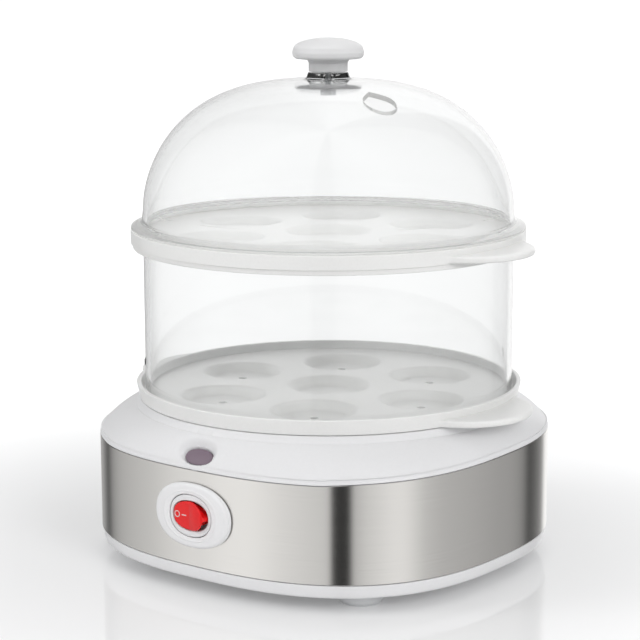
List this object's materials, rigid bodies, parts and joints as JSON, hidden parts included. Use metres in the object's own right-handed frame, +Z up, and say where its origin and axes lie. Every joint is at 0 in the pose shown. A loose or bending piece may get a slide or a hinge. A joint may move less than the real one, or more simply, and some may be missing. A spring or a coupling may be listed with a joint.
{
  "type": "egg boiler",
  "caption": "Two-tier electric egg boiler: rounded-square base with steel band and rocker switch, frosted trays, clear ring and domed clear lid with knob.",
  "frame": {"origin": "middle of the whole outline at the height of the surface that the feet stand on", "axes": "+X to the right as the switch is faced, -Y towards the user, where the switch and the lamp are, +Z up"},
  "size_m": [0.1868, 0.1742, 0.2096],
  "materials": {
    "white_skirt": "smooth white moulding",
    "white_shell": "smooth white moulding",
    "steel": "brushed along the band",
    "white_bezel": "smooth white moulding",
    "white_switch": "satin white",
    "red_rocker": "clear red moulding",
    "smoked_lens": "smoked, finely faceted",
    "holder_grey": "grey moulding",
    "lamp_glow": "small neon lamp",
    "gland_grey": "pale moulding",
    "plate_metal": "plain",
    "seal_silicone": "soft",
    "element_sheath": "dark heated sheath",
    "terminal_nickel": "nickel plated",
    "clamp_zinc": "zinc plated",
    "clip_steel": "spring steel",
    "screw_zinc": "zinc plated",
    "brass": "plain",
    "thermostat_black": "phenolic case",
    "ceramic": "unglazed",
    "fuse_metal": "plated case",
    "lug_metal": "tinned",
    "block_plastic": "natural nylon",
    "brown_lead": "insulated wire",
    "blue_lead": "insulated wire",
    "white_lead": "heat-resistant sleeve",
    "foot_rubber": "pale, soft",
    "tray_frosted": "frosted white",
    "upper_tray_frosted": "frosted white",
    "clear_ring": "clear plastic wall",
    "clear_lid": "clear plastic dome",
    "knob_white": "satin white",
    "washer_grey": "translucent grey"
  },
  "bodies": {
    "base": {"block_screw_left": "screw_zinc", "block_screw_right": "screw_zinc", "clamp_screw": "screw_zinc", "cord_gland": "gland_grey", "earth_lug": "lug_metal", "element_live_lead": "white_lead", "element_neutral_lead": "blue_lead", "element_pin_left": "terminal_nickel", "element_pin_right": "terminal_nickel", "foot_back_left": "foot_rubber", "foot_back_right": "foot_rubber", "foot_front_left": "foot_rubber", "foot_front_right": "foot_rubber", "fuse_block": "ceramic", "fuse_lead": "white_lead", "heating_element": "element_sheath", "heating_plate": "plate_metal", "housing_screw_back_left": "screw_zinc", "housing_screw_back_right": "screw_zinc", "housing_screw_front_left": "screw_zinc", "housing_screw_front_right": "screw_zinc", "indicator_lamp": "lamp_glow", "indicator_lens": "smoked_lens", "lamp_holder": "holder_grey", "lamp_lead_left": "white_lead", "lamp_lead_right": "white_lead", "load_lead": "brown_lead", "lower_housing": "white_skirt", "plate_clamp": "clamp_zinc", "plate_seal": "seal_silicone", "sensor_clip": "clip_steel", "steel_band": "steel", "supply_lead": "brown_lead", "switch_bezel": "white_bezel", "switch_body": "white_switch", "switch_terminal_left": "terminal_nickel", "switch_terminal_middle": "terminal_nickel", "switch_terminal_right": "terminal_nickel", "terminal_block": "block_plastic", "thermal_fuse": "fuse_metal", "thermostat": "thermostat_black", "thermostat_terminal_left": "terminal_nickel", "thermostat_terminal_right": "terminal_nickel", "upper_housing": "white_shell", "wire_screw_left_back": "brass", "wire_screw_left_front": "brass", "wire_screw_right_back": "brass", "wire_screw_right_front": "brass"},
    "rocker": {"switch_rocker": "red_rocker"},
    "lower tray": {"lower_tray": "tray_frosted"},
    "ring": {"clear_ring": "clear_ring"},
    "upper tray": {"upper_tray": "upper_tray_frosted"},
    "lid": {"lid_dome": "clear_lid", "lid_knob": "knob_white", "knob_washer": "washer_grey", "knob_screw": "screw_zinc"}
  },
  "joints": [
    {"name": "rocker_turn", "type": "hinge", "parent": "base", "child": "rocker", "pos_m": [0, -0.083, 0.032], "axis": [0, 0, 1], "range_deg": [0, 16]},
    {"name": "lower_tray_lift", "type": "slide", "parent": "base", "child": "lower tray", "axis": [0, 0, 1], "range_m": [0, 0.03]},
    {"name": "ring_lift", "type": "slide", "parent": "lower tray", "child": "ring", "axis": [0, 0, 1], "range_m": [0, 0.04]},
    {"name": "upper_tray_lift", "type": "slide", "parent": "ring", "child": "upper tray", "axis": [0, 0, 1], "range_m": [0, 0.04]},
    {"name": "lid_lift", "type": "slide", "parent": "upper tray", "child": "lid", "axis": [0, 0, 1], "range_m": [0, 0.05]}
  ]
}
